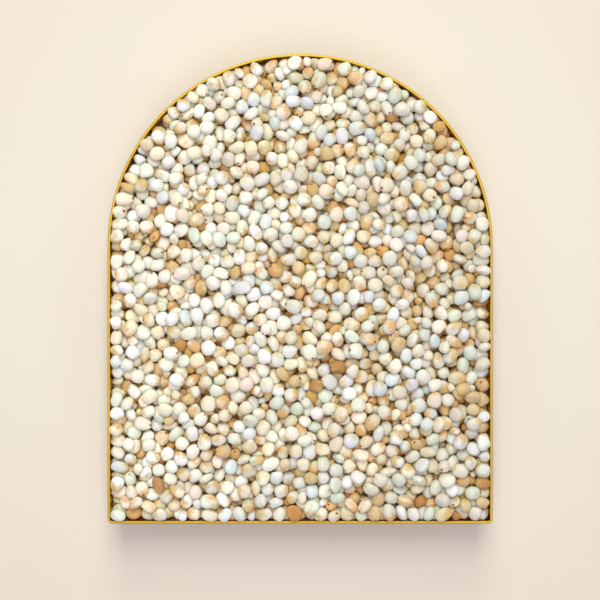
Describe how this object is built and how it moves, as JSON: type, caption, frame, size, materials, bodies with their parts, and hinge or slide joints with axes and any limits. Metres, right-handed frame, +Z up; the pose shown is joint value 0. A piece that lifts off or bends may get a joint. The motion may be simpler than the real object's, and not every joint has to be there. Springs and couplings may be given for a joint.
{
  "type": "dish of kodo millet",
  "caption": "Shallow arch-shaped dish of thin gold-coloured sheet metal, filled to the rim and slightly heaped with pale hulled millet grains.",
  "frame": {"origin": "centre of the dish's outline, on the surface that the dish stands on", "axes": "+Z up out of the dish, +Y from the straight end to the crown of the arch, +X across"},
  "size_m": [0.06, 0.0732, 0.0153],
  "materials": {
    "dish": "satin, gold-coloured",
    "millet": "dry hulled grain, cream with tan ends, faint sheen"
  },
  "bodies": {
    "root": {"dish": "dish", "millet": "millet"}
  },
  "joints": []
}
